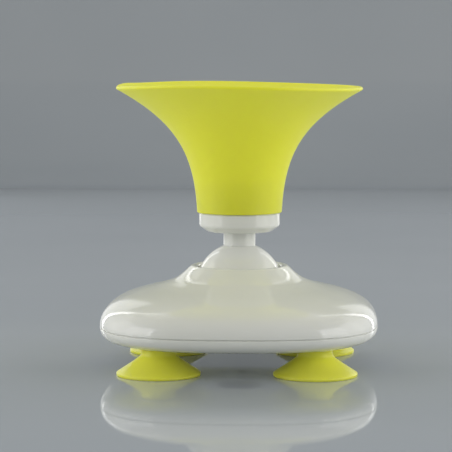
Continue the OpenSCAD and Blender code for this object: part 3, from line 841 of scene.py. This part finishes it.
# %% Turn the sleeve and let its mouth sag
waves = [(1, -0.55, 0.39), (2, -0.72, 0.0), (3, 0.31, 0.16)]
bump_lift, bump_at, bump_wide = 0.8, math.radians(166), math.radians(14)
sag_from_z = 108


def sag(piece, start_z, end_z):
    for vertex in piece.data.vertices:
        share = min(max((vertex.co.z / MM - start_z) / (end_z - start_z), 0), 1) ** 2
        a = math.atan2(vertex.co.y, vertex.co.x)
        lift = sum(c * math.cos(turns * a) + s * math.sin(turns * a) for turns, c, s in waves)
        lift += bump_lift * math.exp(-((a - bump_at) / bump_wide) ** 2)
        vertex.co.z += share * lift * MM
    piece.data.update()


sleeve = turned("sleeve_moulding", sleeve_section, 192)
sag(sleeve, sag_from_z, mouth_z)
fit(keep_flats(sleeve), sleeve_rubber, "sleeve_rubber", "head", "grip_sleeve")

# %% [markdown]
# ## Finishes on the pieces that stay as they are
# The fasteners, the spring and its plate already have the right shape in the frame. They stay, and only their
# material slots are filled with the plated steel.

# %% Give the frame's own pieces their finish
for name, node in sorted(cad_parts.items()):
    if node.hide_render:
        continue
    if not node.material_slots:
        node.data.materials.append(steel)
    for slot in node.material_slots:
        slot.material = steel
    print("kept from the frame:", name)

# %% [markdown]
# ## Floor and backdrop
# A studio sweep is one sheet that is the floor in front and curves up to be the backdrop, so that no line
# shows behind the piece. Its paper is polished, so that a faint mirror image of the stand lies under it.

# %% Make the studio sweep
def studio_sweep():
    """One bent sheet. The sizes are in metres: how far the floor and wall go, and the bend between them."""
    front, floor_end, bend_r, wall_top, half_wide = -1.6, 1.4, 0.5, 2.2, 2.5
    bend = [(floor_end + bend_r * math.sin(t), bend_r - bend_r * math.cos(t))
            for t in np.linspace(0.1, math.pi / 2, 14)]
    section = [(front, 0.0), (floor_end, 0.0)] + bend + [(floor_end + bend_r, wall_top)]
    verts, faces = [], []
    for y, z in section:
        verts += [(-half_wide / MM, y / MM, z / MM), (half_wide / MM, y / MM, z / MM)]
    for i in range(len(section) - 1):
        faces.append((2 * i, 2 * i + 1, 2 * i + 3, 2 * i + 2))
    return make_piece("studio_sweep", verts, faces)


def paper():
    finish, nodes, links, shader, place = start_finish("studio_paper")
    mottle = clouds(nodes, links, place, 3, detail=2)
    colour = between(nodes, links, mottle.outputs["Fac"], (0.430, 0.465, 0.500), (0.460, 0.495, 0.530))
    links.new(colour, shader.inputs["Base Color"])
    shader.inputs["Roughness"].default_value = 0.04
    shader.inputs["Specular IOR Level"].default_value = 0.9
    return finish


sweep_sheet = studio_sweep()
sweep_sheet.data.materials.append(paper())

# %% [markdown]
# ## Camera
# The camera stands a little over a metre away, just above the height of the sleeve's mouth and two degrees to
# the right of the middle. Its long lens keeps the housing's sides from spreading.

# %% Set up the camera
camera = bpy.data.objects.new("camera", bpy.data.cameras.new("camera"))
bpy.context.scene.collection.objects.link(camera)
side_angle, away, eye_height = math.radians(1.926), 1.0882, 0.17105
camera.location = (away * math.sin(side_angle), -away * math.cos(side_angle), eye_height)
aim = Vector((0, 0, 0.075)) - camera.location
camera.rotation_mode = "QUATERNION"
camera.rotation_quaternion = aim.to_track_quat("-Z", "Y")
camera.data.lens = 158.0
camera.data.sensor_width = 36.0
camera.data.shift_x = -0.0298
camera.data.shift_y = 0.0041
bpy.context.scene.camera = camera
print("camera is", round(aim.length, 3), "m from the middle of the stand")

# %% [markdown]
# ## Light
# The look is that of a light tent, the same on the left and right. Tall walls of light stand at the sides and
# get weaker towards the back. A narrow bright strip stands in front of them, and a stack of bright strips far
# back catches the housing's ends; on the glossy white they draw the long bands that follow its curves. A soft
# patch beside the backdrop and one panel above it fill the shadows, and the middle of each face stays quiet.
# The camera doesn't see the lamps themselves, only their light and their reflections.

# %% Hang the light panels
def panel(name, turn, distance, width, bottom, top, glow):
    """An upright soft panel that faces the stand. Turn is in degrees from the front, sizes are in metres."""
    lamp = bpy.data.lights.new(name, "AREA")
    lamp.shape = "RECTANGLE"
    lamp.size, lamp.size_y = width, top - bottom
    lamp.energy = glow * math.pi * width * (top - bottom)
    holder = bpy.data.objects.new(name, lamp)
    bpy.context.scene.collection.objects.link(holder)
    t = math.radians(turn)
    holder.location = (distance * math.sin(t), -distance * math.cos(t), (bottom + top) / 2)
    holder.rotation_mode = "QUATERNION"
    holder.rotation_quaternion = Vector((-holder.location.x, -holder.location.y, 0)).to_track_quat("-Z", "Y")
    holder.visible_camera = False
    return holder


# name, turn, distance, width, bottom, top, glow
both_sides = [
    ("wall_front", 69, 1.30, 0.84, 0.01, 0.90, 2.4),
    ("wall_middle", 103, 1.30, 0.74, 0.01, 1.10, 1.1),
    ("wall_back", 130, 1.30, 0.48, 0.01, 1.30, 0.65),
    ("front_edge", 52, 1.29, 0.05, 0.01, 0.90, 4.0),
    ("back_edge_low", 147, 1.28, 0.12, 0.01, 0.45, 4.4),
    ("back_edge_middle", 147, 1.28, 0.12, 0.45, 1.05, 3.4),
    ("back_edge_high", 147, 1.28, 0.12, 1.05, 2.10, 1.3),
    ("back_soft", 158.5, 1.32, 0.30, 0.01, 0.80, 0.75),
]
for side, sign in (("left", -1), ("right", 1)):
    for name, turn, *rest in both_sides:
        panel(f"{name}_{side}", sign * turn, *rest)
above = panel("above_back", 180, 0.75, 1.8, 1.30, 2.10, 0.42)
middle_of_stand = Vector((0, 0, 0.1))
above.rotation_quaternion = (middle_of_stand - above.location).to_track_quat("-Z", "Y")

# %% [markdown]
# ### The air around the stand
# A weak, even, slightly warm light from all round stands for the walls of the room. The standard view keeps
# the colours as the finishes give them, without a film curve.

# %% Set the surroundings
world = bpy.data.worlds.new("studio_air")
world.use_nodes = True
surroundings = world.node_tree.nodes["Background"]
surroundings.inputs["Color"].default_value = (0.40, 0.40, 0.386, 1)
surroundings.inputs["Strength"].default_value = 1.0
bpy.context.scene.world = world
bpy.context.scene.view_settings.view_transform = "Standard"
